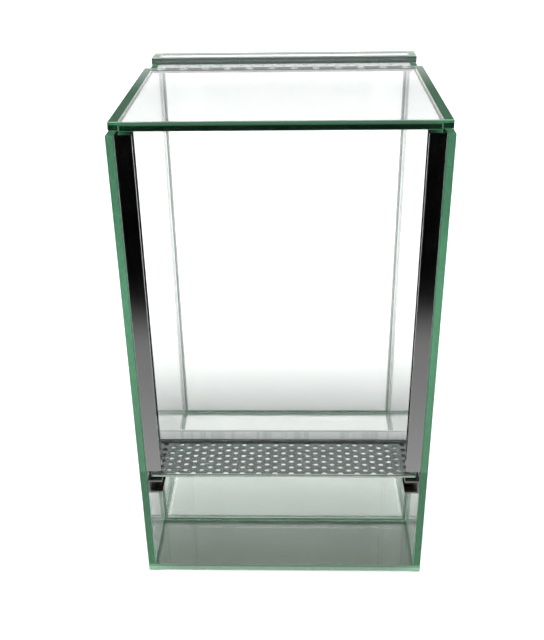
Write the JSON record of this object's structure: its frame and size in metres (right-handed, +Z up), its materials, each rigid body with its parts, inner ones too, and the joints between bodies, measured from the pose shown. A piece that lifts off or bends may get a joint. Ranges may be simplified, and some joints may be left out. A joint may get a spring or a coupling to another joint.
{
  "type": "drop-door glass terrarium",
  "caption": "Upright frameless glass terrarium for a small pet, with a sliding drop door in aluminium guides, a raised perforated front vent and a perforated roof vent.",
  "frame": {"origin": "centre of the footprint on the surface the terrarium stands on", "axes": "+Z up, +Y from the door to the back pane, +X to the right seen from the front"},
  "size_m": [0.15, 0.156, 0.25],
  "materials": {
    "float_glass": "clear float glass with ground green-tinted edges",
    "aluminium_profile": "bright drawn aluminium, light lengthwise grain",
    "perforated_aluminium": "mill-finish perforated aluminium sheet",
    "clear_silicone": "clear, slightly milky silicone with a smooth tooled face"
  },
  "bodies": {
    "case": {"base_pane": "float_glass", "side_pane_left": "float_glass", "side_pane_right": "float_glass", "back_pane": "float_glass", "kick_strip": "float_glass", "roof_pane": "float_glass", "roof_rear_strip": "float_glass", "bearer_rail_left": "aluminium_profile", "bearer_rail_right": "aluminium_profile", "door_guide_left": "aluminium_profile", "door_guide_right": "aluminium_profile", "front_vent_sheet": "perforated_aluminium", "roof_vent_sheet": "perforated_aluminium", "floor_bead": "clear_silicone", "corner_bead_left": "clear_silicone", "corner_bead_right": "clear_silicone", "strip_bead_left": "clear_silicone", "strip_bead_right": "clear_silicone", "strip_bead_base": "clear_silicone", "roof_bead_left": "clear_silicone", "roof_bead_right": "clear_silicone"},
    "door": {"drop_door": "float_glass"}
  },
  "joints": [
    {"name": "door_lift", "type": "slide", "parent": "case", "child": "door", "axis": [0, 0, 1], "range_m": [0, 0.17]}
  ]
}
